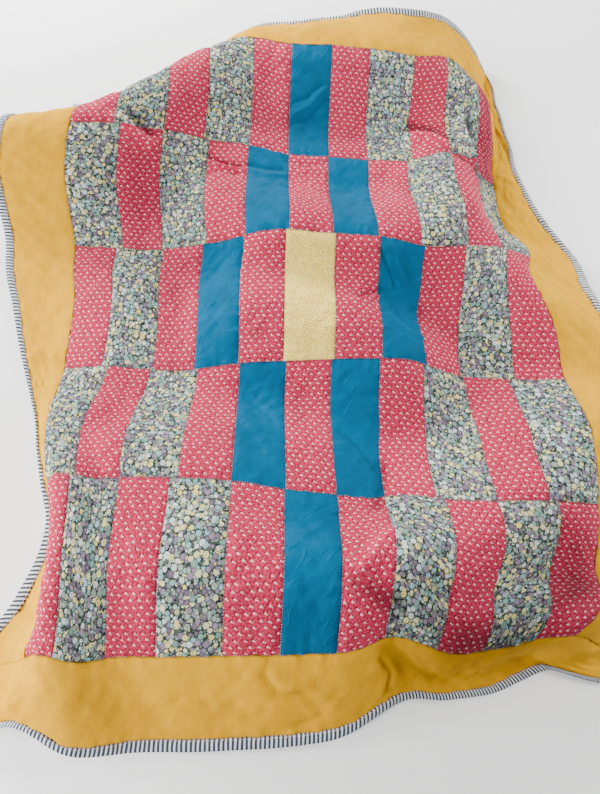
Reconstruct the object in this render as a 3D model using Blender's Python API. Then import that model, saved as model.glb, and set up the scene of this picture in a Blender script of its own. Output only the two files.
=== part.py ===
"""A patchwork crib quilt lying loosely on a floor, heaped into soft folds.

The quilt is thought of flat first. "Across" and "along" are a point's place on
the flat quilt, measured from its middle: across to the right, along to the far
edge. Folds lift the flat quilt into ridges, the lift draws the cloth in so that
its threads keep their length, and pushes gather it where hands have shoved it
together. Every sub-part is cut from that one laid-out cloth.
"""
import math

import bmesh
import bpy
import numpy as np

MM = 0.001

# The flat quilt, in metres.
PATCH_WIDE = 0.0635
PATCH_LONG = 0.184
PATCHES_ACROSS = 11
BORDER_WIDE = 0.090
BINDING_WIDE = 0.013
THICKNESS = 0.0045
SEAM_DITCH = 0.0016
BINDING_EDGE_DROP = 0.0018
GAP = 0.0006
ROW_GAP = 0.0009

# The rows from the far end to the near one. P is a small pink print, F a floral
# print, B plain blue and C a cream print.
ROWS = (
    "PFPFPBPFPFP",
    "FPFPBPBPFPF",
    "PFPBPCPBPFP",
    "FPFPBPBPFPF",
    "PFPFPBPFPFP",
)
# How wide each cloth was cut, as a share of the others.
CUT_WIDTH = {"P": 59.5, "F": 69.0, "B": 62.0, "C": 66.0}

PANEL_HALF_WIDE = PATCHES_ACROSS * PATCH_WIDE / 2
PANEL_HALF_LONG = len(ROWS) * PATCH_LONG / 2
EDGE_HALF_WIDE = PANEL_HALF_WIDE + BORDER_WIDE + BINDING_WIDE
EDGE_HALF_LONG = PANEL_HALF_LONG + BORDER_WIDE + BINDING_WIDE

# Cells of each piece's grid.
CELLS_PER_PATCH = 3
CELLS_PER_ROW = 8
CELLS_IN_BORDER = 4
CELLS_IN_BINDING = 2

# The ridges, in millimetres. Name, width of the slope to the right of the crest
# as it is walked, width of the slope to its left, and the crest's points, each
# as across, along and height.
FOLDS = (
    ("back left", 230, 140, (
        (-480, 292, 80), (-349, 296, 90), (-286, 325, 94), (-222, 376, 94),
        (-159, 420, 92), (-90, 470, 86), (32, 490, 84))),
    ("back arch", 250, 320, ((32, 480, 82), (120, 510, 92), (160, 600, 112))),
    ("back right", 150, 160, ((120, 470, 88), (200, 460, 86), (245, 420, 66))),
    ("back valley", 160, 160, ((-100, 276, 36), (120, 276, 34))),
    ("middle left", 150, 190, ((-110, 150, 52), (-32, 110, 65))),
    ("middle", 130, 190, (
        (-32, 100, 66), (95, 92, 74), (215, 160, 74), (220, 290, 54))),
    ("middle right", 150, 150, ((200, 110, 62), (290, 60, 60), (370, 0, 48))),
    ("centre", 160, 120, ((-60, 0, 48), (60, -30, 58), (110, -70, 50))),
    ("left bump", 120, 120, ((-286, 0, 20), (-286, -90, 20))),
    ("left shoulder", 130, 150, (
        (-222, -250, 64), (-110, -270, 62), (0, -290, 52))),
    ("front left", 185, 190, (
        (-260, -340, 84), (-140, -370, 94), (60, -400, 98), (110, -390, 98),
        (190, -330, 62))),
    ("left rim", 145, 150, (
        (-300, -200, 50), (-305, -290, 86), (-300, -400, 88), (-290, -470, 56))),
    ("front right", 150, 160, (
        (180, -320, 50), (286, -270, 66), (370, -180, 60))),
    ("front hump", 110, 120, ((150, -420, 60), (240, -440, 66), (340, -440, 72))),
)
# Where two ridges meet, the higher wins; a larger number makes the join sharper.
RIDGE_JOIN = 4
CREST_ROUNDING = 0.22

# Where the cloth is shoved together, in millimetres. Name, the place across and
# along, how far the shove reaches across and along, and the shove to the right
# and to the far side.
PUSHES = (
    ("left side in", -490, -200, 120, 130, 86, 0),
    ("left pinch", -430, -340, 150, 110, 70, 0),
    ("left hem in", -500, -60, 90, 160, 40, 0),
    ("left middle in", -330, -90, 170, 90, 20, -14),
    ("front left in", -400, -480, 130, 120, 45, 8),
    ("right side in", 480, 330, 130, 170, -95, 0),
    ("back left edge", -480, 300, 120, 100, 0, -20),
    ("back left corner", -452, 610, 210, 220, 70, -150),
    ("back right corner", 500, 600, 110, 170, -105, -65),
    ("front right up", 330, -640, 190, 140, -40, 60),
    ("front dip up", 170, -600, 80, 110, 0, 36),
    ("front right in", 380, -500, 150, 75, -80, 0),
    ("front middle in", 160, -460, 120, 100, -20, 4),
    ("front left up", -390, -640, 160, 120, 0, 76),
    ("front left corner", -500, -610, 110, 110, 60, 10),
    ("front stretched", -70, -550, 380, 150, 0, -24),
    ("row four right", 240, -270, 130, 90, 0, -16),
    ("right shoulder", 360, 276, 100, 120, 0, -10),
    ("left row three in", -350, 20, 90, 70, 16, 0),
    ("right row three in", 380, 50, 90, 60, -38, 0),
    ("right row three near", 340, -92, 90, 80, 8, -14),
    ("front right corner", 490, -600, 110, 120, -40, 84),
    ("row four middle", -10, -276, 90, 60, 0, -12),
)

# The cloth is worked out on a fine square net and smoothed a little.
NET = 0.004
SMOOTHING_ROUNDS = 18
STEEPEST_RISE = 0.985
# The near edge leans out a little further than the far one.
EDGE_LEAN = 0.0008

PATCHWORK_PINK = (0.58, 0.12, 0.17)
BORDER_YELLOW = (0.92, 0.58, 0.13)
BINDING_BLUE = (0.24, 0.28, 0.38)
CLOTH_ROUGHNESS = 0.9
SHARP_EDGE_DEGREES = 50


def slope_profile(x):
    """1 on a crest, falling to 0 at a distance of 1, eased at both ends."""
    x = np.clip(x, 0.0, 1.0)
    steepness = 1 / (1 - CREST_ROUNDING)
    crest = 1 - steepness * x ** 2 / (2 * CREST_ROUNDING)
    side = 1 - steepness * (x - CREST_ROUNDING / 2)
    foot = steepness * (1 - x) ** 2 / (2 * CREST_ROUNDING)
    return np.where(x < CREST_ROUNDING, crest,
                    np.where(x < 1 - CREST_ROUNDING, side, foot))


def ridge_height(across, along, right_slope, left_slope, crest):
    """Height that one ridge gives to every point of the flat quilt."""
    nearest = np.full_like(across, np.inf)
    height = np.zeros_like(across)
    leftness = np.zeros_like(across)
    points = np.array(crest) * MM
    for start, end in zip(points[:-1], points[1:]):
        run = math.dist(start[:2], end[:2])
        way = (end[:2] - start[:2]) / run
        walked = np.clip((across - start[0]) * way[0]
                         + (along - start[1]) * way[1], 0, run)
        off_x = across - start[0] - walked * way[0]
        off_y = along - start[1] - walked * way[1]
        distance = np.hypot(off_x, off_y)
        side = (way[0] * off_y - way[1] * off_x) / (distance + NET / 1000)
        closer = distance < nearest
        nearest = np.where(closer, distance, nearest)
        crest_height = start[2] + (end[2] - start[2]) * walked / run
        height = np.where(closer, crest_height, height)
        leftness = np.where(closer, side, leftness)
    width = MM * (right_slope * (1 - leftness) + left_slope * (1 + leftness)) / 2
    return height * slope_profile(nearest / width)


def smoothed(field):
    """Average every point of a net with its eight neighbours a few times."""
    for _ in range(SMOOTHING_ROUNDS):
        wide = np.pad(field, 1, mode="edge")
        across = wide[:, :-2] + 2 * wide[:, 1:-1] + wide[:, 2:]
        field = (across[:-2] + 2 * across[1:-1] + across[2:]) / 16
    return field


def running_length(share, axis):
    """Add up the plan length of each net line, from the quilt's middle."""
    line = np.moveaxis(share, axis, -1)
    pieces = (line[..., 1:] + line[..., :-1]) / 2 * NET
    start = np.zeros(line.shape[:-1] + (1,))
    length = np.concatenate([start, np.cumsum(pieces, axis=-1)], axis=-1)
    middle = length.shape[-1] // 2
    return np.moveaxis(length - length[..., middle:middle + 1], -1, axis)


def lay_out():
    """Return the net's across and along values, and the cloth's underside
    and upward normals at every point of the net."""
    half_columns = round(EDGE_HALF_WIDE / NET) + 1
    half_rows = round(EDGE_HALF_LONG / NET) + 1
    net_across = np.arange(-half_columns, half_columns + 1) * NET
    net_along = np.arange(-half_rows, half_rows + 1) * NET
    across, along = np.meshgrid(net_across, net_along)

    joined = np.zeros_like(across)
    for _, right_slope, left_slope, crest in FOLDS:
        ridge = ridge_height(across, along, right_slope, left_slope, crest)
        joined += ridge ** RIDGE_JOIN
    height = smoothed(joined ** (1 / RIDGE_JOIN))

    rise_across = np.clip(np.gradient(height, NET, axis=1),
                          -STEEPEST_RISE, STEEPEST_RISE)
    rise_along = np.clip(np.gradient(height, NET, axis=0),
                         -STEEPEST_RISE, STEEPEST_RISE)
    x = running_length(np.sqrt(1 - rise_across ** 2), axis=1)
    y = running_length(np.sqrt(1 - rise_along ** 2), axis=0)
    for _, at_x, at_y, reach_x, reach_y, right, far in PUSHES:
        weight = np.exp(-((across / MM - at_x) / reach_x) ** 2
                        - ((along / MM - at_y) / reach_y) ** 2)
        x += right * MM * weight
        y += far * MM * weight
    x -= (x.max() + x.min()) / 2
    y -= (y.max() + y.min()) / 2 - EDGE_LEAN

    underside = np.stack([x, y, height], axis=-1)
    normal = np.cross(np.gradient(underside, axis=1),
                      np.gradient(underside, axis=0))
    normal /= np.linalg.norm(normal, axis=-1, keepdims=True)
    return net_across, net_along, underside, normal


def read_net(cloth, field, across, along):
    """Read a field of the net between its points."""
    net_across, net_along = cloth[:2]
    column = (across - net_across[0]) / NET
    row = (along - net_along[0]) / NET
    i = min(int(column), len(net_across) - 2)
    j = min(int(row), len(net_along) - 2)
    s = column - i
    t = row - j
    near = field[j, i] * (1 - s) + field[j, i + 1] * s
    far = field[j + 1, i] * (1 - s) + field[j + 1, i + 1] * s
    return near * (1 - t) + far * t


def add_material(name, colour):
    material = bpy.data.materials.new(name)
    material.use_nodes = True
    shader = material.node_tree.nodes["Principled BSDF"]
    shader.inputs["Base Color"].default_value = (*colour, 1.0)
    shader.inputs["Roughness"].default_value = CLOTH_ROUGHNESS
    shader.inputs["Metallic"].default_value = 0.0
    return material


def split_walls(mesh, top, flat):
    """Split every side wall the same way, so that neighbours stay parallel."""
    for wall in [face for face in mesh.faces if len(face.verts) == 4]:
        low = min((v for v in wall.verts if v not in top), key=lambda v: v[flat])
        high = max((v for v in wall.verts if v in top), key=lambda v: v[flat])
        bmesh.utils.face_split(wall, low, high)


def add_piece(name, cloth, material, places, thickness):
    """Cut one piece from the cloth.

    places[i][j] is the flat (across, along) of grid point i, j, and
    thickness[i][j] is how thick the piece is there.
    """
    columns = len(places) - 1
    rows = len(places[0]) - 1
    mesh = bmesh.new()
    bmesh.ops.create_grid(mesh, x_segments=columns, y_segments=rows, size=0.5)
    upward = mesh.verts.layers.float_vector.new("upward")
    flat = mesh.verts.layers.float.new("flat")
    for vert in mesh.verts:
        i = round((vert.co.x + 0.5) * columns)
        j = round((vert.co.y + 0.5) * rows)
        across, along = places[i][j]
        vert.co = read_net(cloth, cloth[2], across, along)
        normal = read_net(cloth, cloth[3], across, along)
        vert[upward] = normal / np.linalg.norm(normal) * thickness[i][j]
        vert[flat] = across + along
    bmesh.ops.triangulate(mesh, faces=mesh.faces)
    sheet = mesh.faces[:] + mesh.edges[:]
    raised = bmesh.ops.extrude_face_region(mesh, geom=sheet, use_keep_orig=True)
    top = {item for item in raised["geom"] if isinstance(item, bmesh.types.BMVert)}
    for vert in top:
        vert.co += vert[upward]
    split_walls(mesh, top, flat)
    bmesh.ops.recalc_face_normals(mesh, faces=mesh.faces)

    data = bpy.data.meshes.new(name)
    mesh.to_mesh(data)
    mesh.free()
    data.shade_smooth()
    data.set_sharp_from_angle(angle=math.radians(SHARP_EDGE_DEGREES))
    data.materials.append(material)
    piece = bpy.data.objects.new(name, data)
    bpy.context.scene.collection.objects.link(piece)
    return piece


def between(start, end, cells):
    return [start + (end - start) * k / cells for k in range(cells + 1)]


def stations_across(row):
    """Grid lines that cross a row: its seams and the lines between them.

    The cloths that were cut wider take more room.
    """
    cut = [CUT_WIDTH[cloth] for cloth in row]
    scale = 2 * PANEL_HALF_WIDE / sum(cut)
    stations = [-PANEL_HALF_WIDE]
    for width in cut:
        seam = stations[-1]
        stations += between(seam, seam + width * scale, CELLS_PER_PATCH)[1:]
    return stations


def stations_along():
    """Grid lines that cross the patchwork's side edges, row by row."""
    return between(-PANEL_HALF_LONG, PANEL_HALF_LONG, len(ROWS) * CELLS_PER_ROW)


def with_borders(stations):
    """Go on with the same grid lines across the border at both ends."""
    first, last = stations[0], stations[-1]
    return (between(first - BORDER_WIDE, first, CELLS_IN_BORDER)[:-1] + stations
            + between(last, last + BORDER_WIDE, CELLS_IN_BORDER)[1:])


def shortened(stations, by):
    """Leave a gap at both ends of a run of grid lines."""
    return [stations[0] + by] + stations[1:-1] + [stations[-1] - by]


def row_thickness(i, j):
    """A row is thin along every seam and thick in the middle of a patch."""
    on_seam = i % CELLS_PER_PATCH == 0 or j in (0, CELLS_PER_ROW)
    return THICKNESS - (SEAM_DITCH if on_seam else 0)


def add_row(number, row, cloth, material):
    columns = shortened(stations_across(row), GAP / 2)
    far = PANEL_HALF_LONG - number * PATCH_LONG
    lines = shortened(between(far - PATCH_LONG, far, CELLS_PER_ROW),
                      ROW_GAP / 2)
    places = [[(across, along) for along in lines] for across in columns]
    thickness = [[row_thickness(i, j) for j in range(len(lines))]
                 for i in range(len(columns))]
    return add_piece(f"row_{number + 1}", cloth, material, places, thickness)


def strip_places(stations, inner, outer, lanes, runs_along, mitre=0.0):
    """Grid places of a strip between two lines that lie inner and outer.

    A mitred strip is longer at its outer edge by the mitre at each end.
    """
    places = []
    for station in stations:
        line = []
        for share in between(0.0, 1.0, lanes):
            end = (station == stations[-1]) - (station == stations[0])
            run = station + end * mitre * share
            off = inner + (outer - inner) * share
            line.append((off, run) if runs_along else (run, off))
        places.append(line)
    return places


def add_border(name, side, inner, stations, runs_along, cloth, material):
    places = strip_places(shortened(stations, GAP / 2),
                          side * (inner + GAP / 2),
                          side * (inner + BORDER_WIDE - GAP / 2),
                          CELLS_IN_BORDER, runs_along)
    lane = [THICKNESS] * (CELLS_IN_BORDER + 1)
    lane[0] -= SEAM_DITCH
    lane[-1] -= SEAM_DITCH / 2
    return add_piece(name, cloth, material, places, [lane] * len(places))


def add_binding(name, side, inner, stations, runs_along, cloth, material):
    """A strip folded over the raw edge, fullest along its middle."""
    places = strip_places(shortened(stations, GAP),
                          side * (inner + GAP / 2), side * (inner + BINDING_WIDE),
                          CELLS_IN_BINDING, runs_along, BINDING_WIDE)
    lane = [THICKNESS - SEAM_DITCH / 2, THICKNESS,
            THICKNESS - BINDING_EDGE_DROP]
    return add_piece(name, cloth, material, places, [lane] * len(places))


def clear_scene():
    for old in list(bpy.data.objects):
        bpy.data.objects.remove(old, do_unlink=True)


def build():
    clear_scene()
    cloth = lay_out()
    patchwork = add_material("patchwork cotton", PATCHWORK_PINK)
    yellow = add_material("border cotton", BORDER_YELLOW)
    ticking = add_material("binding ticking", BINDING_BLUE)
    for number, row in enumerate(ROWS):
        add_row(number, row, cloth, patchwork)
    full_width = with_borders(stations_across(ROWS[0]))
    panel_length = stations_along()
    for end, side in (("top", 1), ("bottom", -1)):
        add_border(f"border_{end}", side, PANEL_HALF_LONG, full_width, False,
                   cloth, yellow)
        add_binding(f"binding_{end}", side, PANEL_HALF_LONG + BORDER_WIDE,
                    full_width, False, cloth, ticking)
    for end, side in (("right", 1), ("left", -1)):
        add_border(f"border_{end}", side, PANEL_HALF_WIDE, panel_length, True,
                   cloth, yellow)
        add_binding(f"binding_{end}", side, PANEL_HALF_WIDE + BORDER_WIDE,
                    with_borders(panel_length), True, cloth, ticking)


if __name__ == "__main__":
    build()
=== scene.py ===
"""Looks of a patchwork crib quilt, lying on a floor in soft shoved-up folds.

The quilt is thought of flat first. "Across" and "along" are a point's place on
the flat quilt, measured from its middle: across to the right, along to the far
edge. The folds and pushes are those of the part's own source, read here on
fine grids, with the puffed patches, seams, creases and prints added.
"""
import math

import bpy
import numpy as np
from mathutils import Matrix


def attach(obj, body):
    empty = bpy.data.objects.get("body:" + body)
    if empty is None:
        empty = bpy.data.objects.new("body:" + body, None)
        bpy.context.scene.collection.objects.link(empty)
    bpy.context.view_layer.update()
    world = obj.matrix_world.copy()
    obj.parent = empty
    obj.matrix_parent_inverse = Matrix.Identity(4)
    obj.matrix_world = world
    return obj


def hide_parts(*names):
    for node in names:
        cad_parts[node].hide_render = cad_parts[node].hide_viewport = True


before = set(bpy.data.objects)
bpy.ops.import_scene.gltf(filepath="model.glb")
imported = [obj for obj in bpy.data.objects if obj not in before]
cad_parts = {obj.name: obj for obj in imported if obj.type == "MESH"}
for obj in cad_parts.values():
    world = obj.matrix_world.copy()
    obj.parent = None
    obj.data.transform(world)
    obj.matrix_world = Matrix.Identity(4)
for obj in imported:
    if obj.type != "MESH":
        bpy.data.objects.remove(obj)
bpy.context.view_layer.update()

MM = 0.001
# Millimetres in a metre.
PER_METRE = 1000.0

# The camera, at the photograph's viewing angle, in metres and degrees.
CAMERA_PLACE = (-0.064, -0.455, 0.715)
CAMERA_TURN = (24.0, -4.7, 0.2)
CAMERA_LENS = 27.1
CAMERA_NEAREST = 0.01


def add_object(name, data):
    thing = bpy.data.objects.new(name, data)
    bpy.context.scene.collection.objects.link(thing)
    return thing


def add_camera():
    data = bpy.data.cameras.new("camera")
    data.lens = CAMERA_LENS
    data.clip_start = CAMERA_NEAREST
    camera = add_object("camera", data)
    camera.location = CAMERA_PLACE
    camera.rotation_euler = [math.radians(turn) for turn in CAMERA_TURN]
    bpy.context.scene.camera = camera


# The flat quilt, in metres.
PATCH_WIDE = 0.0635
PATCH_LONG = 0.184
PATCHES_ACROSS = 11
BORDER_WIDE = 0.090
BINDING_WIDE = 0.013

# The rows from the far end to the near one. P is a small pink print, F a
# floral print, B plain blue and C a cream print.
ROWS = (
    "PFPFPBPFPFP",
    "FPFPBPBPFPF",
    "PFPBPCPBPFP",
    "FPFPBPBPFPF",
    "PFPFPBPFPFP",
)
# How wide each cloth was cut, in millimetres before a row is drawn in to the
# panel's width.
CUT_WIDTH = {"P": 59.5, "F": 69.0, "B": 62.0, "C": 66.0}

PANEL_HALF_WIDE = PATCHES_ACROSS * PATCH_WIDE / 2
PANEL_HALF_LONG = len(ROWS) * PATCH_LONG / 2
BORDER_HALF_WIDE = PANEL_HALF_WIDE + BORDER_WIDE
BORDER_HALF_LONG = PANEL_HALF_LONG + BORDER_WIDE
EDGE_HALF_WIDE = BORDER_HALF_WIDE + BINDING_WIDE
EDGE_HALF_LONG = BORDER_HALF_LONG + BINDING_WIDE

# The ridges, in millimetres: name, width of the slope to the right of the
# crest as it is walked, width of the slope to its left, and the crest's points,
# each as across, along and height.
FOLDS = (
    ("back left", 230, 140, (
        (-480, 292, 80), (-349, 296, 90), (-286, 325, 94), (-222, 376, 94),
        (-159, 420, 92), (-90, 470, 86), (32, 490, 84))),
    ("back arch", 250, 320, ((32, 480, 82), (120, 510, 92), (160, 600, 112))),
    ("back right", 150, 160, ((120, 470, 88), (200, 460, 86), (245, 420, 66))),
    ("back valley", 160, 160, ((-100, 276, 36), (120, 276, 34))),
    ("middle left", 150, 190, ((-110, 150, 52), (-32, 110, 65))),
    ("middle", 130, 190, (
        (-32, 100, 66), (95, 92, 74), (215, 160, 74), (220, 290, 54))),
    ("middle right", 150, 150, ((200, 110, 62), (290, 60, 60), (370, 0, 48))),
    ("centre", 160, 120, ((-60, 0, 48), (60, -30, 58), (110, -70, 50))),
    ("left bump", 120, 120, ((-286, 0, 20), (-286, -90, 20))),
    ("left shoulder", 130, 150, (
        (-222, -250, 64), (-110, -270, 62), (0, -290, 52))),
    ("front left", 185, 190, (
        (-260, -340, 84), (-140, -370, 94), (60, -400, 98), (110, -390, 98),
        (190, -330, 62))),
    ("left rim", 145, 150, (
        (-300, -200, 50), (-305, -290, 86), (-300, -400, 88),
        (-290, -470, 56))),
    ("front right", 150, 160, (
        (180, -320, 50), (286, -270, 66), (370, -180, 60))),
    ("front hump", 110, 120, (
        (150, -420, 60), (240, -440, 66), (340, -440, 72))),
)
# Where two ridges meet, the higher wins; a larger number makes the join
# sharper.
RIDGE_JOIN = 4
# The rounded share of a slope, at its crest and at its foot.
CREST_ROUNDING = 0.22

# Where the cloth is shoved together, in millimetres: name, the place across and
# along, how far the shove reaches across and along, and the shove to the right
# and to the far side.
PUSHES = (
    ("left side in", -490, -200, 120, 130, 86, 0),
    ("left pinch", -430, -340, 150, 110, 70, 0),
    ("left hem in", -500, -60, 90, 160, 40, 0),
    ("left middle in", -330, -90, 170, 90, 20, -14),
    ("front left in", -400, -480, 130, 120, 45, 8),
    ("right side in", 480, 330, 130, 170, -95, 0),
    ("back left edge", -480, 300, 120, 100, 0, -20),
    ("back left corner", -452, 610, 210, 220, 70, -150),
    ("back right corner", 500, 600, 110, 170, -105, -65),
    ("front right up", 330, -640, 190, 140, -40, 60),
    ("front dip up", 170, -600, 80, 110, 0, 36),
    ("front right in", 380, -500, 150, 75, -80, 0),
    ("front middle in", 160, -460, 120, 100, -20, 4),
    ("front left up", -390, -640, 160, 120, 0, 76),
    ("front left corner", -500, -610, 110, 110, 60, 10),
    ("front stretched", -70, -550, 380, 150, 0, -24),
    ("row four right", 240, -270, 130, 90, 0, -16),
    ("right shoulder", 360, 276, 100, 120, 0, -10),
    ("left row three in", -350, 20, 90, 70, 16, 0),
    ("right row three in", 380, 50, 90, 60, -38, 0),
    ("right row three near", 340, -92, 90, 80, 8, -14),
    ("front right corner", 490, -600, 110, 120, -40, 84),
    ("row four middle", -10, -276, 90, 60, 0, -12),
)

# The net that the folds are laid out on: its cell in metres, how often its
# heights are smoothed, and the steepest rise for a step along the cloth.
NET = 0.004
SMOOTHING_ROUNDS = 18
STEEPEST_RISE = 0.985
# Added to a distance, so that nothing is divided by 0.
TINY = NET / 1000
# The near edge leans out a little further than the far one.
EDGE_LEAN = 0.0008


def slope_profile(x):
    """1 on a crest, falling to 0 at a distance of 1, eased at both ends."""
    x = np.clip(x, 0.0, 1.0)
    steepness = 1 / (1 - CREST_ROUNDING)
    crest = 1 - steepness * x ** 2 / (2 * CREST_ROUNDING)
    side = 1 - steepness * (x - CREST_ROUNDING / 2)
    foot = steepness * (1 - x) ** 2 / (2 * CREST_ROUNDING)
    return np.where(x < CREST_ROUNDING, crest,
                    np.where(x < 1 - CREST_ROUNDING, side, foot))


def ridge_height(across, along, right_slope, left_slope, crest):
    """Height that one ridge gives to every point of the flat quilt."""
    nearest = np.full_like(across, np.inf)
    height = np.zeros_like(across)
    leftness = np.zeros_like(across)
    points = np.array(crest) * MM
    for start, end in zip(points[:-1], points[1:]):
        run = math.dist(start[:2], end[:2])
        way = (end[:2] - start[:2]) / run
        walked = np.clip((across - start[0]) * way[0]
                         + (along - start[1]) * way[1], 0, run)
        off_x = across - start[0] - walked * way[0]
        off_y = along - start[1] - walked * way[1]
        distance = np.hypot(off_x, off_y)
        side = (way[0] * off_y - way[1] * off_x) / (distance + TINY)
        closer = distance < nearest
        nearest = np.where(closer, distance, nearest)
        crest_height = start[2] + (end[2] - start[2]) * walked / run
        height = np.where(closer, crest_height, height)
        leftness = np.where(closer, side, leftness)
    width = MM * (right_slope * (1 - leftness)
                  + left_slope * (1 + leftness)) / 2
    return height * slope_profile(nearest / width)


def smoothed(field):
    """Average every point of a net with its eight neighbours, many times.

    The weights are 1, 2, 1 both ways, which add up to 16.
    """
    for _ in range(SMOOTHING_ROUNDS):
        wide = np.pad(field, 1, mode="edge")
        across = wide[:, :-2] + 2 * wide[:, 1:-1] + wide[:, 2:]
        field = (across[:-2] + 2 * across[1:-1] + across[2:]) / 16
    return field


def running_length(share, axis):
    """Add up the plan length of each net line, from the quilt's middle."""
    line = np.moveaxis(share, axis, -1)
    pieces = (line[..., 1:] + line[..., :-1]) / 2 * NET
    start = np.zeros(line.shape[:-1] + (1,))
    length = np.concatenate([start, np.cumsum(pieces, axis=-1)], axis=-1)
    middle = length.shape[-1] // 2
    return np.moveaxis(length - length[..., middle:middle + 1], -1, axis)


def lay_out():
    """Lay the folded cloth out on a net.

    Returns the net's first place across and along, and the cloth's underside at
    every point of the net, with one more point all round.
    """
    half_columns = round(EDGE_HALF_WIDE / NET) + 1
    half_rows = round(EDGE_HALF_LONG / NET) + 1
    net_across = np.arange(-half_columns, half_columns + 1) * NET
    net_along = np.arange(-half_rows, half_rows + 1) * NET
    across, along = np.meshgrid(net_across, net_along)

    joined = np.zeros_like(across)
    for _, right_slope, left_slope, crest in FOLDS:
        ridge = ridge_height(across, along, right_slope, left_slope, crest)
        joined += ridge ** RIDGE_JOIN
    height = smoothed(joined ** (1 / RIDGE_JOIN))

    rise_across = np.clip(np.gradient(height, NET, axis=1),
                          -STEEPEST_RISE, STEEPEST_RISE)
    rise_along = np.clip(np.gradient(height, NET, axis=0),
                         -STEEPEST_RISE, STEEPEST_RISE)
    x = running_length(np.sqrt(1 - rise_across ** 2), axis=1)
    y = running_length(np.sqrt(1 - rise_along ** 2), axis=0)
    for _, at_x, at_y, reach_x, reach_y, right, far in PUSHES:
        weight = np.exp(-((across / MM - at_x) / reach_x) ** 2
                        - ((along / MM - at_y) / reach_y) ** 2)
        x += right * MM * weight
        y += far * MM * weight
    x -= (x.max() + x.min()) / 2
    y -= (y.max() + y.min()) / 2 - EDGE_LEAN
    underside = np.stack([x, y, height], axis=-1)
    wider = np.pad(underside, ((1, 1), (1, 1), (0, 0)), mode="reflect",
                   reflect_type="odd")
    return net_across[0] - NET, net_along[0] - NET, wider


def spline_shares(t):
    """Shares of the four net points round a place, for a smooth curve."""
    return (((2 - t) * t - 1) * t / 2, ((3 * t - 5) * t * t + 2) / 2,
            ((4 - 3 * t) * t + 1) * t / 2, (t - 1) * t * t / 2)


def read_net(cloth, across, along):
    """The underside's places and upward normals at arrays of flat places."""
    first_across, first_along, net = cloth

    def places(across, along):
        column = (across - first_across) / NET
        row = (along - first_along) / NET
        i = np.clip(column.astype(int), 1, net.shape[1] - 3)
        j = np.clip(row.astype(int), 1, net.shape[0] - 3)
        total = 0
        for b, far_share in enumerate(spline_shares(row - j)):
            for a, right_share in enumerate(spline_shares(column - i)):
                share = (far_share * right_share)[..., None]
                total = total + share * net[j + b - 1, i + a - 1]
        return total

    step = NET / 4
    place = places(across, along)
    right = places(across + step, along) - places(across - step, along)
    far = places(across, along + step) - places(across, along - step)
    normal = np.cross(right, far)
    normal /= np.linalg.norm(normal, axis=-1, keepdims=True)
    return place, normal


# Relief above the underside, in metres: puffed patches, seams and puckers. A
# reach is the distance over which something swells or fades.
BACK_CLEARANCE = 0.0002
THINNEST = 3 * BACK_CLEARANCE
SEAM_LIFT = 0.0027
PUFF = 0.0019
PUFF_REACH = 0.0055
BORDER_PUFF = 0.0015
PUCKER = 0.0014
PUCKER_LONG = 0.007
PUCKER_REACH = 0.009
CRINKLE_REACH = 0.01

# The small waves of washed cotton, in metres: name, height, size across and
# along, which way they slant, and seed.
CRINKLES = (
    ("broad", 0.0012, 0.034, 0.046, 0, 11),
    ("slanted", 0.0012, 0.014, 0.040, 1, 12),
    ("leaning", 0.0008, 0.012, 0.034, -1, 14),
    ("fine", 0.0004, 0.009, 0.011, 0, 13),
)
# How many random values a noise holds each way before it repeats.
LATTICE = 256

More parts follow.
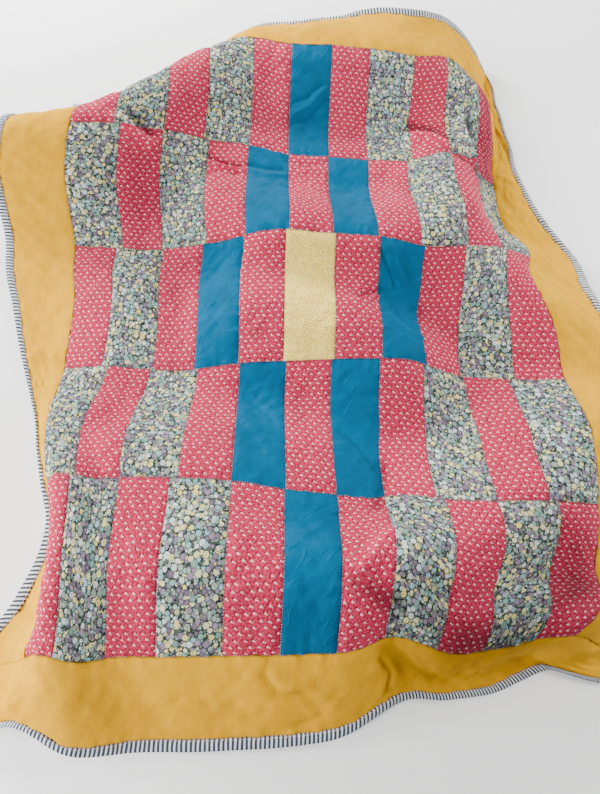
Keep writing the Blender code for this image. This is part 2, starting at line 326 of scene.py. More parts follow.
# Soft creases, in millimetres: name, width, height (below 0 for a trough), and
# the points across and along. All are drawn CREASE_STRENGTH times as high.
CREASES = (
    ("blue top", 4.0, -1.4, ((-26, 370), (-5, 380), (18, 400))),
    ("blue top low", 5.0, -1.2, ((-28, 336), (0, 350), (24, 380))),
    ("blue top hump", 5.0, 1.2, ((-24, 352), (0, 366), (22, 392))),
    ("gather", 4.5, -2.6, ((-165, 256), (-135, 242), (-104, 232))),
    ("gather ridge", 5.5, 2.6, ((-160, 240), (-130, 230), (-100, 222))),
    ("gather low", 4.0, -1.6, ((-154, 216), (-128, 221), (-104, 214))),
    ("blue gather", 5.0, -1.7, ((-92, 240), (-66, 236), (-40, 244))),
    ("blue gather ridge", 6.0, 1.3, ((-92, 226), (-62, 222), (-36, 232))),
    ("middle gather", 5.0, -1.3, ((-32, 262), (0, 256), (24, 264))),
    ("left dart", 7.0, -4.4, ((-276, 300), (-256, 282), (-238, 268))),
    ("left dart ridge", 9.0, 3.8, ((-284, 284), (-262, 268), (-236, 250))),
    ("dimple", 6.0, -1.8, ((-190, 184), (-172, 168), (-154, 160))),
    ("zigzag", 8.0, -4.6, ((164, 352), (190, 338), (212, 312))),
    ("zigzag ridge", 9.0, 5.6, ((162, 330), (188, 316), (214, 294))),
    ("zigzag back", 7.0, -4.4, (
        (214, 318), (222, 290), (236, 268), (282, 262))),
    ("right dart", 7.0, -4.6, ((262, 358), (268, 324), (284, 268))),
    ("right dart ridge", 9.0, 4.6, ((248, 350), (254, 316), (266, 276))),
    ("right hem wrinkle", 6.0, 1.8, ((410, 400), (432, 376), (450, 340))),
    ("right hem hollow", 6.0, -1.6, ((398, 392), (420, 360), (446, 322))),
    ("right hem low", 5.0, 1.5, ((372, 290), (410, 284), (442, 262))),
    ("shoulder wrinkle", 6.0, 1.4, ((370, 110), (396, 88), (424, 52))),
    ("blue right", 4.0, -1.5, ((94, 78), (104, 56), (118, 28))),
    ("blue right ridge", 4.0, 1.2, ((104, 80), (114, 62), (128, 40))),
    ("zigzag back hollow", 13.0, -2.6, ((158, 362), (180, 350), (206, 338))),
    ("right hollow", 13.0, -3.0, ((272, 330), (280, 300), (290, 268))),
    ("dart hollow", 11.0, -2.0, ((-268, 314), (-246, 292))),
    ("middle wrinkle", 4.5, -2.4, ((66, 2), (82, 12), (98, 24))),
    ("middle wrinkle ridge", 5.0, 1.4, ((60, -10), (84, 0), (104, 14))),
    ("row four left", 5.0, -1.0, ((-82, -142), (-62, -160), (-44, -182))),
    ("row four right", 5.0, -1.2, ((40, -186), (62, -208), (80, -236))),
    ("row four hollow", 10.0, -3.4, ((94, -232), (88, -262), (80, -290))),
    ("row five ridge", 12.0, 4.0, ((54, -384), (74, -366), (94, -346))),
    ("row five hollow", 14.0, -4.0, ((50, -396), (74, -410), (98, -424))),
    ("flower ridge", 10.0, 2.4, ((98, -378), (116, -358), (134, -342))),
    ("flower hollow", 12.0, -2.2, ((110, -392), (134, -398), (158, -400))),
    ("left flower crease", 6.0, 1.6, (
        (-258, -366), (-244, -352), (-230, -344))),
    ("near arc", 4.5, -1.3, ((-46, -480), (-30, -500), (-2, -502))),
    ("near arc ridge", 4.5, 1.2, ((-38, -478), (-22, -492), (2, -494))),
    ("near right arc", 4.0, -1.5, ((86, -486), (103, -508), (96, -534))),
    ("near right ridge", 5.0, 1.3, ((78, -490), (93, -510), (87, -530))),
    ("near hem crease", 4.0, -1.0, ((-20, -542), (0, -537), (20, -530))),
    ("near valley", 16.0, -2.4, ((98, -474), (130, -500), (168, -520))),
    ("near left crease", 6.0, 1.4, ((-430, -432), (-380, -446), (-310, -452))),
    ("left hem crease", 5.0, -1.4, ((-436, -396), (-390, -414), (-344, -420))),
    ("left join", 1.6, -0.9, ((-440, 150), (-350, 154))),
    ("left hem fold", 7.0, 1.3, ((-432, -80), (-400, -64), (-356, -70))),
)
CREASE_STRENGTH = 2.0

# Painted shade on the cloth's colour, in millimetres: name, width, how much of
# the colour's brightness it takes away, and the points across and along.
PAINTED_SHADE_PLACES = (
    ("row one right end", 35, 0.50, ((320, 450), (320, 290))),
    ("row one middle", 40, 0.15, ((-190, 330), (0, 320), (60, 320))),
    ("row two left", 60, 0.25, ((-260, 220), (-225, 150))),
    ("row two middle left", 40, 0.15, ((-130, 180), (-100, 160))),
    ("row three left", 45, 0.25, ((-325, 65), (-190, 65))),
    ("row four left", 35, 0.20, ((-330, -130), (-330, -220))),
    ("row five right", 50, 0.60, ((190, -445), (260, -435), (325, -405))),
    ("row five right end", 40, 0.25, ((320, -330), (320, -380))),
    ("near border right", 50, 0.10, ((120, -500), (300, -500))),
)
LINE_SHARPNESS = 1.5


def noise(across, along, cell_across, cell_along, seed):
    """Smooth seeded noise from -1 to 1, with its cells' sizes in metres."""
    table = np.random.default_rng(seed).uniform(-1, 1, (LATTICE, LATTICE))
    u = across / cell_across + LATTICE / 2
    v = along / cell_along + LATTICE / 2
    i = np.floor(u).astype(int)
    j = np.floor(v).astype(int)
    s = u - i
    t = v - j
    s = s * s * (3 - 2 * s)
    t = t * t * (3 - 2 * t)

    def at(a, b):
        return table[(i + a) % LATTICE, (j + b) % LATTICE]

    near = at(0, 0) * (1 - s) + at(1, 0) * s
    far = at(0, 1) * (1 - s) + at(1, 1) * s
    return near * (1 - t) + far * t


def crinkles(across, along):
    total = 0
    for _, height, wide, long, slant, seed in CRINKLES:
        total = total + height * noise(
            across + slant * along, along - slant * across, wide, long, seed)
    return total


def lines_drawn(table, across, along):
    """Sum of a table's soft lines, each as strong as its third column."""
    total = np.zeros_like(across)
    for _, width, strength, points in table:
        nearest = np.full_like(across, np.inf)
        for start, end in zip(points[:-1], points[1:]):
            start = np.array(start) * MM
            end = np.array(end) * MM
            way = end - start
            walked = (across - start[0]) * way[0] + (along - start[1]) * way[1]
            walked = np.clip(walked / way.dot(way), 0, 1)
            nearest = np.minimum(nearest, np.hypot(
                across - start[0] - walked * way[0],
                along - start[1] - walked * way[1]))
        beside = nearest / (width * MM)
        total += strength * np.exp(-beside ** LINE_SHARPNESS)
    return total


def creases(across, along):
    return CREASE_STRENGTH * MM * lines_drawn(CREASES, across, along)


def puckers(distance, run, seed):
    """Small gathers that run along a seam, fading away from it."""
    wave = noise(run, np.zeros_like(run), PUCKER_LONG, 1.0, seed)
    return PUCKER * wave * np.exp(-distance / PUCKER_REACH)


def swell(distance, reach):
    return 1 - np.exp(-distance / reach)


# The closer grid lines beside a rim or seam, in metres from it.
RIM_LINES = (0.0006, 0.0014, 0.0026)
SHARP_DEGREES = 55


def grid_stations(length, cell):
    """Places from 0 to length, closer together beside both ends."""
    *outer, last = RIM_LINES
    middle = length - 2 * last
    count = max(2, round(middle / cell))
    inner = [last + middle * k / count for k in range(count + 1)]
    return ([0.0] + outer + inner
            + [length - gap for gap in reversed(outer)] + [length])


def grid_quads(columns, rows):
    """Corners of a grid's cells, anticlockwise as seen from above."""
    i, j = np.meshgrid(np.arange(columns), np.arange(rows), indexing="ij")
    corner = i * (rows + 1) + j
    return np.stack([corner, corner + rows + 1, corner + rows + 2, corner + 1],
                    axis=-1).reshape(-1, 4)


def wall_runs(columns, rows):
    """Points along a grid's rim, anticlockwise, and the cell beside each."""
    at = np.arange((columns + 1) * (rows + 1)).reshape(columns + 1, rows + 1)
    rim = np.concatenate([at[:-1, 0], at[-1, :-1], at[:0:-1, -1],
                          at[0, :0:-1]])
    cell = np.arange(columns * rows).reshape(columns, rows)
    beside = np.concatenate([cell[:, 0], cell[-1, :], cell[::-1, -1],
                             cell[0, ::-1]])
    return rim, beside


def make_mesh(name, vertices, quads, materials, material_of, layers):
    """A smooth mesh of four-sided faces, with its named layers of places."""
    mesh = bpy.data.meshes.new(name)
    mesh.vertices.add(len(vertices))
    mesh.vertices.foreach_set("co", vertices.astype(np.float32).ravel())
    mesh.loops.add(quads.size)
    mesh.loops.foreach_set("vertex_index", quads.astype(np.int32).ravel())
    mesh.polygons.add(len(quads))
    starts = np.arange(0, quads.size, 4, dtype=np.int32)
    mesh.polygons.foreach_set("loop_start", starts)
    for material in materials:
        mesh.materials.append(material)
    mesh.polygons.foreach_set("material_index", material_of.astype(np.int32))
    for layer_name, places in layers.items():
        layer = mesh.uv_layers.new(name=layer_name)
        layer.data.foreach_set("uv", places.astype(np.float32).ravel())
    mesh.update(calc_edges=True)
    mesh.validate()
    mesh.shade_smooth()
    mesh.set_sharp_from_angle(angle=math.radians(SHARP_DEGREES))
    return mesh


def add_sheet(name, cloth, across, along, lift, folded, cloths, cell_cloth,
              cell_shift, cell_seam):
    """Make one closed piece from a grid of flat places.

    lift is each place's height above the underside, and folded the share of it
    that comes from creases. cloths are the materials, the last one for the
    back. cell_cloth is the number of each cell's material, cell_shift where its
    print starts, and cell_seam where the seams next to it lie across and along.
    """
    columns, rows = across.shape[0] - 1, across.shape[1] - 1
    place, normal = read_net(cloth, across, along)
    bottom = place + normal * BACK_CLEARANCE
    bottom[..., 2] = np.maximum(bottom[..., 2], BACK_CLEARANCE)
    top = place + normal * np.maximum(lift, THINNEST)[..., None]
    vertices = np.concatenate([top.reshape(-1, 3), bottom.reshape(-1, 3)])
    count = (columns + 1) * (rows + 1)

    upper = grid_quads(columns, rows)
    lower = upper[:, ::-1] + count
    rim, beside = wall_runs(columns, rows)
    following = np.roll(rim, -1)
    walls = np.stack([rim, rim + count, following + count, following], axis=-1)
    quads = np.concatenate([upper, lower, walls])

    flat = np.stack([across.ravel(), along.ravel()], axis=-1)
    flat = np.concatenate([flat, flat])
    cell_of = np.concatenate([np.arange(columns * rows)] * 2 + [beside])
    shift = cell_shift.reshape(-1, 2)[cell_of]
    uv = flat[quads] + shift[:, None, :]
    seam = cell_seam.reshape(-1, 2)[cell_of]
    beside_seam = flat[quads] - seam[:, None, :]
    # Painted shade: the share of the colour that the listed shade places
    # darken.
    painted_shade = lines_drawn(PAINTED_SHADE_PLACES, across, along)
    # The folded layer holds each place's crease height, which sets the painted
    # shade and painted highlight of the folds, and the share of painted shade.
    depth = np.stack([folded.ravel(), painted_shade.ravel()], axis=-1)
    depth = np.concatenate([depth, depth])[quads]
    cloth_number = cell_cloth.ravel()[cell_of]
    cloth_number[len(upper):2 * len(upper)] = len(cloths) - 1

    mesh = make_mesh(name, vertices, quads, cloths, cloth_number,
                     {"flat": uv, "beside": beside_seam, "folded": depth})
    return add_object(name, mesh)


def declare(piece, node):
    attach(piece, "root")
    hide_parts(node)


def seam_places(row):
    """Where a row's seams cross it. Wider cut cloths take more room."""
    cut = [CUT_WIDTH[cloth] for cloth in row]
    scale = 2 * PANEL_HALF_WIDE / sum(cut)
    return -PANEL_HALF_WIDE + scale * np.concatenate([[0], np.cumsum(cut)])


# The grids' cells, in metres.
PATCH_CELL = 0.0020
BORDER_CELL = 0.0036
BINDING_CELL = 0.0022
# The place of a seam that is nowhere near.
FAR_OFF = 9.0
# Seeds, and how far apart pieces were cut from their cloth, in metres.
SIDE_SEED = 31
END_SEED = 32
ROW_SEED = 100
PATCH_SHIFT = 0.4
BORDER_SHIFT = 0.1


def add_row(number, row, cloth, looks):
    seams = seam_places(row)
    stations = [seams[0]]
    patch_of = []
    seam_of = []
    to_seam = [0.0]
    for patch, (left, right) in enumerate(zip(seams[:-1], seams[1:])):
        wide = right - left
        places = grid_stations(wide, PATCH_CELL)[1:]
        stations += [left + place for place in places]
        to_seam += [min(place, wide - place) for place in places]
        patch_of += [patch] * len(places)
        halfway = wide / 2 + PATCH_CELL / 2
        seam_of += [left if place <= halfway else right for place in places]
    far = PANEL_HALF_LONG - number * PATCH_LONG
    lines = grid_stations(PATCH_LONG, PATCH_CELL)
    across, along = np.meshgrid(
        stations, [far - PATCH_LONG + line for line in lines], indexing="ij")
    side = np.repeat(np.array(to_seam)[:, None], len(lines), axis=1)
    to_end = np.array([min(line, PATCH_LONG - line) for line in lines])
    end = np.repeat(to_end[None, :], len(stations), axis=0)
    folded = creases(across, along)
    lift = (SEAM_LIFT + PUFF * swell(side, PUFF_REACH) * swell(end, PUFF_REACH)
            + puckers(side, along, SIDE_SEED) + puckers(end, across, END_SEED)
            + crinkles(across, along) * swell(side, CRINKLE_REACH)
            * swell(end, CRINKLE_REACH) + folded)

    used = [kind for kind in CUT_WIDTH if kind in row]
    cloths = [looks[kind] for kind in used] + [looks["backing"]]
    pick = np.random.default_rng(ROW_SEED + number)
    starts = (pick.uniform(0, PATCH_SHIFT, (len(row), 2))
              - seams[:-1, None] * [1, 0])
    patch_of = np.array(patch_of)
    cell_cloth = np.array([used.index(row[patch]) for patch in patch_of])
    cells = len(lines) - 1
    seam = np.empty((len(patch_of), cells, 2))
    seam[..., 0] = np.array(seam_of)[:, None]
    seam[..., 1] = [far - (PATCH_LONG if line < PATCH_LONG / 2 else 0)
                    for line in lines[:-1]]
    piece = add_sheet(f"pieced_row_{number + 1}", cloth, across, along, lift,
                      folded, cloths,
                      np.repeat(cell_cloth[:, None], cells, axis=1),
                      np.repeat(starts[patch_of][:, None, :], cells, axis=1),
                      seam)
    declare(piece, f"row_{number + 1}")


def edge_strip(side, inner, wide, half_run, runs_along, cell, lanes,
               mitre=0.0):
    """Flat places of a strip along an edge, and how far out and along each is.

    lanes are its long lines from the inner edge out, as shares of its width.
    mitre is how much longer its outer edge is at each end. The cells run
    anticlockwise on every side.
    """
    run = np.array(grid_stations(2 * half_run, cell)) - half_run
    if (side > 0) == runs_along:
        run = run[::-1]
    run = run[:, None] * (1 + mitre / half_run * lanes)[None, :]
    start = side * inner
    place = start + (side * (inner + wide) - start) * lanes
    place = np.repeat(place[None, :], len(run), axis=0)
    across, along = (place, run) if runs_along else (run, place)
    return across, along, np.abs(place) - inner, run


# The edges: name, side, whether the edge runs along, and seed.
EDGES = (
    ("top", 1, False, 41), ("bottom", -1, False, 42),
    ("right", 1, True, 43), ("left", -1, True, 44),
)


def add_border(edge, cloth, looks):
    end, side, runs_along, seed = edge
    inner = PANEL_HALF_WIDE if runs_along else PANEL_HALF_LONG
    half_run = PANEL_HALF_LONG if runs_along else BORDER_HALF_WIDE
    lanes = np.array(grid_stations(BORDER_WIDE, BORDER_CELL)) / BORDER_WIDE
    across, along, off, run = edge_strip(side, inner, BORDER_WIDE, half_run,
                                         runs_along, BORDER_CELL, lanes)
    to_edge = np.minimum(off, BORDER_WIDE - off)
    to_end = half_run - np.abs(run)
    folded = creases(across, along)
    puff = swell(to_edge, PUFF_REACH)
    lift = (SEAM_LIFT + BORDER_PUFF * puff * swell(to_end, PUFF_REACH)
            + puckers(to_edge, run, seed)
            + crinkles(across, along) * swell(to_edge, CRINKLE_REACH) + folded)
    cells = (across.shape[0] - 1, across.shape[1] - 1)
    shift = np.zeros(cells + (2,))
    shift[..., 0] = BORDER_SHIFT * seed
    seam = np.full(cells + (2,), FAR_OFF)
    inside = (off[:-1, :-1] + off[1:, 1:]) / 2 < BORDER_WIDE / 2
    seam[..., 0 if runs_along else 1] = side * np.where(
        inside, inner, inner + BORDER_WIDE)
    piece = add_sheet(f"yellow_{end}", cloth, across, along, lift, folded,
                      [looks["border"], looks["backing"]],
                      np.zeros(cells, dtype=int), shift, seam)
    declare(piece, f"border_{end}")


# The binding's rounded section: share of its width and height in millimetres.
BINDING_SECTION = (
    (0.00, 3.0), (0.05, 3.9), (0.14, 4.5), (0.28, 4.9), (0.45, 5.0),
    (0.62, 4.9), (0.78, 4.4), (0.88, 3.8), (0.95, 3.0), (0.985, 2.1),
    (1.00, 1.3),
)
# Its puckers and crinkles, as shares of the patches', and how far from its
# outer edge the crinkles fade.
BINDING_PUCKERS = 0.6
BINDING_CRINKLES = 0.5
BINDING_REACH = 0.003
# What its seed adds to that of the border beside it.
BINDING_SEED = 10


def add_binding(edge, cloth, looks):
    end, side, runs_along, seed = edge
    inner, half_run = BORDER_HALF_WIDE, BORDER_HALF_LONG
    if not runs_along:
        inner, half_run = half_run, inner
    seed += BINDING_SEED
    lanes, heights = np.array(BINDING_SECTION).T
    across, along, off, run = edge_strip(
        side, inner, BINDING_WIDE, half_run, runs_along, BINDING_CELL, lanes,
        mitre=BINDING_WIDE)
    lift = (heights * MM + BINDING_PUCKERS * puckers(off, run, seed)
            + BINDING_CRINKLES * crinkles(across, along)
            * swell(BINDING_WIDE - off, BINDING_REACH))
    cells = (across.shape[0] - 1, across.shape[1] - 1)
    look = looks["binding along" if runs_along else "binding across"]
    piece = add_sheet(f"ticking_{end}", cloth, across, along, lift,
                      np.zeros_like(lift), [look, looks["backing"]],
                      np.zeros(cells, dtype=int), np.zeros(cells + (2,)),
                      np.full(cells + (2,), FAR_OFF))
    declare(piece, f"binding_{end}")


SPECULAR = 0.05
SHEEN = 0.01
SHEEN_ROUGHNESS = 0.5
COTTON_ROUGHNESS = 0.85

# The weave and its bump, in millimetres. BUMP is how far a height of 1 stands
# up, in metres.
BUMP = 0.00012
BUMP_STRENGTH = 0.8
THREAD_PITCH = 0.42
SLUB_SIZE = 0.9
SLUB_STRETCH = 0.07
WEAVE_HEIGHT = 0.35
SLUB_HEIGHT = 0.5
WRINKLE_SIZE = 6.0
WRINKLE_HEIGHT = 5.5
WEAR_SIZE = 60.0

# The length of a stitch and its gap, how high it stands, and its colour.
STITCH = 2.9
BINDING_STITCH = 2.8
STITCH_HEIGHT = 2.0
THREAD = (0.66, 0.46, 0.44)

# The fold heights between which painted shade sets in, in metres, and the share
# of the colour left under painted shade in a trough and in a seam's ditch, and
# under the painted highlight on a ridge.
SHADE_STARTS = 0.0003
RIDGE_STARTS = 0.001
SHADE_ENDS = 0.009
TROUGH_SHADE = 0.42
RIDGE_SHADE = 1.18
SEAM_SHADE = 0.62


class Graph:
    """A material's nodes, joined up by short calls."""

    def __init__(self, name, roughness=COTTON_ROUGHNESS, sheen=SHEEN):
        self.material = bpy.data.materials.new(name)
        self.material.use_nodes = True
        self.nodes = self.material.node_tree.nodes
        self.links = self.material.node_tree.links
        self.shader = self.nodes["Principled BSDF"]
        self.fill(self.shader, {
            "Roughness": roughness, "Metallic": 0.0,
            "Specular IOR Level": SPECULAR, "Sheen Weight": sheen,
            "Sheen Roughness": SHEEN_ROUGHNESS})

    def put(self, socket, value):
        """Link a socket to another, or set it to a number, colour or vector."""
        if isinstance(value, bpy.types.NodeSocket):
            self.links.new(value, socket)
        elif isinstance(value, tuple) and socket.type == "RGBA":
            socket.default_value = (*value, 1.0)
        else:
            socket.default_value = value

    def fill(self, node, values):
        for name, value in values.items():
            self.put(node.inputs[name], value)

    def node(self, kind, *values, **settings):
        """Add a node with its settings, and fill its first sockets in order."""
        node = self.nodes.new("ShaderNode" + kind)
        for setting, value in settings.items():
            setattr(node, setting, value)
        for socket, value in zip(node.inputs, values):
            self.put(socket, value)
        return node

    def math(self, operation, *values):
        return self.node("Math", *values, operation=operation).outputs[0]

    def times(self, a, b):
        return self.math("MULTIPLY", a, b)

    def wave(self, value, repeat):
        """A sine from -1 to 1 that starts again after each repeat."""
        return self.math("SINE", self.times(value, 2 * math.pi / repeat))

    def vector(self, operation, *values):
        node = self.node("VectorMath", *values, operation=operation)
        return node.outputs["Value" if operation == "LENGTH" else "Vector"]

    def scaled(self, vector, scale):
        node = self.node("VectorMath", vector, operation="SCALE")
        self.put(node.inputs["Scale"], scale)
        return node.outputs["Vector"]

    def layer(self, name):
        """What a mesh's layer holds at each point."""
        return self.node("UVMap", uv_map=name).outputs["UV"]

    def flat(self):
        """Place on the flat cloth, in millimetres."""
        return self.scaled(self.layer("flat"), PER_METRE)

    def split(self, vector):
        return self.node("SeparateXYZ", vector).outputs[0:2]

    def join(self, x, y):
        return self.node("CombineXYZ", x, y).outputs[0]

    def noise(self, place, cell, detail=2.0, roughness=0.5, distortion=0.0):
        node = self.node("TexNoise", place, noise_dimensions="2D")
        self.fill(node, {"Scale": 1 / cell, "Detail": detail,
                         "Roughness": roughness, "Distortion": distortion})
        return node.outputs[0]

    def cells(self, place, jitter):
        """A jittered unit grid's nearest point: place, colour and distance."""
        node = self.node("TexVoronoi", place, voronoi_dimensions="2D")
        self.fill(node, {"Scale": 1.0, "Randomness": jitter})
        return [node.outputs[name]
                for name in ("Position", "Color", "Distance")]

    def mix(self, share, a, b):
        node = self.node("Mix", share, data_type="RGBA")
        self.put(node.inputs[6], a)
        self.put(node.inputs[7], b)
        return node.outputs[2]

    def ease(self, value, low, high, to_low=0.0, to_high=1.0):
        """Step smoothly from to_low to to_high as value goes low to high."""
        return self.node("MapRange", value, low, high, to_low, to_high,
                         interpolation_type="SMOOTHSTEP").outputs[0]

    def fade(self, value, low, high, strongest=1.0):
        """Step smoothly down to 0 as value goes from low to high."""
        return self.ease(value, low, high, strongest, 0.0)

    def pick(self, value, colours):
        """One of several colours, by a value from 0 to 1."""
        node = self.node("ValToRGB", value)
        ramp = node.color_ramp
        ramp.interpolation = "CONSTANT"
        for number, colour in enumerate(colours):
            spot = number / len(colours)
            if number >= len(ramp.elements):
                ramp.elements.new(spot)
            element = ramp.elements[number]
            element.position = spot
            element.color = (*colour, 1.0)
        return node.outputs[0]

    def random_parts(self, colour):
        """A random colour's three parts, as three random numbers."""
        return self.node("SeparateColor", colour).outputs[0:3]

    def scatter(self, place, pitch, jitter):
        """Offset from a scatter's nearest point, and its random numbers."""
        scaled = self.scaled(place, 1 / pitch)
        nearest, random, _ = self.cells(scaled, jitter)
        off = self.scaled(self.vector("SUBTRACT", scaled, nearest), pitch)
        return off, self.random_parts(random)

    def weave(self, place):
        """Height of a plain weave, its threads over and under."""
        x, y = self.split(place)
        return self.times(self.wave(x, 2 * THREAD_PITCH),
                          self.wave(y, 2 * THREAD_PITCH))

    def slubs(self, place):
        """Threads thicker in places, along both directions of the cloth."""
        x, y = self.split(place)
        lengthways = self.join(x, self.times(y, SLUB_STRETCH))
        crossways = self.join(self.times(x, SLUB_STRETCH), y)
        return self.math("ADD", self.noise(lengthways, SLUB_SIZE),
                         self.noise(crossways, SLUB_SIZE))

    def creased(self, place):
        """Soft lines that run askew where the cotton has been crushed."""
        x, y = self.split(place)
        askew = self.join(self.times(self.math("ADD", x, y), 0.45),
                          self.math("SUBTRACT", y, x))
        cloud = self.noise(askew, 22.0, 1.5, 0.45, 0.5)
        off = self.math("ABSOLUTE", self.math("SUBTRACT", cloud, 0.5))
        line = self.fade(off, 0.0, 0.07)
        some = self.ease(self.noise(place, 24.0, 1.0), 0.45, 0.65)
        return self.times(line, some)

    def stitches(self, off, run):
        """A row of short stitches just beside a seam, on one side of it."""
        band = self.times(self.ease(off, 0.05, 0.25),
                          self.fade(off, 0.70, 0.95))
        return self.times(band, self.ease(self.wave(run, STITCH), -0.1, 0.4))

    def finish_sewn(self, colour, place, crushed=0.0):
        """Paint shade into the ditch along each seam, lay its stitches and
        finish.
        """
        right, far = self.split(self.scaled(self.layer("beside"), PER_METRE))
        nearest = self.math("MINIMUM", self.math("ABSOLUTE", right),
                            self.math("ABSOLUTE", far))
        # Painted shade: the colour darkened close to each seam's ditch.
        shade = self.ease(nearest, 0.2, 2.4, SEAM_SHADE, 1.0)
        colour = self.scaled(colour, shade)
        x, y = self.split(place)
        stitches = self.math("MAXIMUM", self.stitches(right, y),
                             self.stitches(far, x))
        shown = self.ease(self.noise(place, 7.0, 2.0), 0.35, 0.65, 0.2, 0.75)
        colour = self.mix(self.times(stitches, shown), colour, THREAD)
        return self.finish(colour, place, self.times(stitches, STITCH_HEIGHT),
                           crushed)

    def finish(self, colour, place, height, crushed=0.0):
        """Join up the colour, an uneven roughness and the woven bump."""
        slubs = self.slubs(place)
        shade = self.ease(slubs, 0.7, 1.3, 0.93, 1.05)
        worn = self.noise(place, WEAR_SIZE, 3.0)
        wear = self.ease(worn, 0.3, 0.7, 0.95, 1.04)
        # fold_shade multiplies in the painted shade of the folds and shade
        # places and the painted highlight on ridges.
        grey = self.times(self.times(shade, wear), self.fold_shade())
        self.put(self.shader.inputs["Base Color"], self.scaled(colour, grey))
        rough = self.ease(slubs, 0.6, 1.4, 0.78, 0.95)
        self.put(self.shader.inputs["Roughness"], rough)
        relief = self.math("ADD", self.times(self.weave(place), WEAVE_HEIGHT),
                           self.times(slubs, SLUB_HEIGHT))
        wrinkled = self.noise(place, WRINKLE_SIZE, 3.0, 0.6, 0.6)
        relief = self.math("ADD", relief,
                           self.times(wrinkled, WRINKLE_HEIGHT))
        if crushed:
            relief = self.math("ADD", relief,
                               self.times(self.creased(place), crushed))
        relief = self.math("ADD", relief, height)
        bump = self.node("Bump")
        self.fill(bump, {"Strength": BUMP_STRENGTH, "Distance": BUMP,
                         "Height": relief})
        self.put(self.shader.inputs["Normal"], bump.outputs[0])
        return self.material

    def fold_shade(self):
        """Painted shade down in the folds and a painted highlight along their
        ridges.

        Also darker by the painted shade of the listed shade places.
        """
        height, painted_shade = self.split(self.layer("folded"))
        trough = self.ease(height, -SHADE_ENDS, -SHADE_STARTS,
                           TROUGH_SHADE, 1.0)
        ridge = self.ease(height, RIDGE_STARTS, SHADE_ENDS, 1.0, RIDGE_SHADE)
        return self.times(self.times(trough, ridge),
                          self.math("SUBTRACT", 1.0, painted_shade))

    def blossom(self, offset, radius, petals, depth, turn):
        """Distance from a blossom's middle as a share of its lobed outline."""
        x, y = self.split(offset)
        angle = self.math("ARCTAN2", y, x)
        swing = self.math("COSINE", self.math(
            "MULTIPLY_ADD", angle, float(petals),
            self.times(turn, 2 * math.pi)))
        outline = self.times(radius,
                             self.math("MULTIPLY_ADD", swing, depth, 1.0))
        return self.math("DIVIDE", self.vector("LENGTH", offset), outline)


PINK_GROUND = (0.405, 0.022, 0.058)
PINK_DEEP = (0.200, 0.006, 0.025)
PINK_PALE = (0.60, 0.13, 0.18)
SPECK_WHITE = (0.88, 0.50, 0.52)
# The darkest and lightest pink, as shares of the ground's.
PINK_MOTTLE = (0.70, 1.27)
# The sprigs, in millimetres: spacing across and along, a flower's smallest and
# largest radius, its middle as seen from bud and leaf, and the specks' spacing.
SPRIG_PITCH = (10.0, 6.4)
SPRIG_RADIUS = (1.00, 1.30)
FROM_BUD = (-1.9, 0.9, 0.0)
FROM_LEAF = (1.5, -1.2, 0.0)
SPECK_PITCH = 3.4


def pink_print():
    """Pink cotton with tiny pale sprigs in slanting rows."""
    graph = Graph("pink cotton print")
    place = graph.flat()
    x, y = graph.split(place)
    pitch_x, pitch_y = SPRIG_PITCH
    row = graph.math("DIVIDE", y, pitch_y)
    column = graph.math("DIVIDE", x, pitch_x)
    lattice = graph.join(graph.math("MULTIPLY_ADD", row, 0.5, column), row)
    nearest, random, _ = graph.cells(lattice, 0.25)
    off_x, off_y = graph.split(graph.vector("SUBTRACT", lattice, nearest))
    off_x = graph.math("MULTIPLY_ADD", off_y, -0.5, off_x)
    off = graph.join(graph.times(off_x, pitch_x), graph.times(off_y, pitch_y))
    turn, size, _ = graph.random_parts(random)
    radius = graph.ease(size, 0.0, 1.0, *SPRIG_RADIUS)
    flower = graph.fade(graph.blossom(off, radius, 4, 0.16, turn), 0.6, 1.2)
    from_bud = graph.vector("LENGTH", graph.vector("ADD", off, FROM_BUD))
    bud = graph.fade(from_bud, 0.45, 1.05, 0.75)
    from_leaf = graph.vector("LENGTH", graph.vector("ADD", off, FROM_LEAF))
    leaf = graph.fade(from_leaf, 0.8, 2.0, 0.9)

    shifted = graph.vector("ADD", place, (3.1, 1.7, 0.0))
    _, _, from_speck = graph.cells(graph.scaled(shifted, 1 / SPECK_PITCH), 0.9)
    speck = graph.fade(from_speck, 0.12, 0.26, 0.6)

    mottle = graph.ease(graph.noise(place, 2.4, 3.0), 0.38, 0.62)
    ground = graph.mix(mottle, *(tuple(share * part for part in PINK_GROUND)
                                 for share in PINK_MOTTLE))
    colour = graph.mix(leaf, ground, PINK_DEEP)
    colour = graph.mix(speck, colour, PINK_PALE)
    colour = graph.mix(bud, colour, SPECK_WHITE)
    colour = graph.mix(flower, colour, SPECK_WHITE)
    return graph.finish_sewn(colour, place)


FLORAL_GROUND = (0.016, 0.024, 0.021)
FLORAL_LIGHTER = (0.07, 0.10, 0.08)
FLORAL_COLOURS = (
    (0.17, 0.30, 0.26), (0.25, 0.42, 0.43), (0.66, 0.58, 0.22),
    (0.16, 0.12, 0.17), (0.27, 0.34, 0.28), (0.66, 0.61, 0.36),
    (0.24, 0.18, 0.26), (0.56, 0.62, 0.60),
)
FLORAL_HEARTS = ((0.42, 0.40, 0.22), (0.46, 0.50, 0.46), (0.16, 0.12, 0.15))
# The blossoms from the lowest layer up: spacing in millimetres, unevenness,
# smallest and largest radius in millimetres, and where the layer starts.
FLOWER_LAYERS = (
    (4.0, 0.85, 1.0, 1.7, (0.0, 0.0, 0.0)),
    (6.2, 0.75, 2.0, 2.7, (37.0, 11.0, 0.0)),
    (9.0, 0.85, 2.6, 3.5, (91.0, 53.0, 0.0)),
)


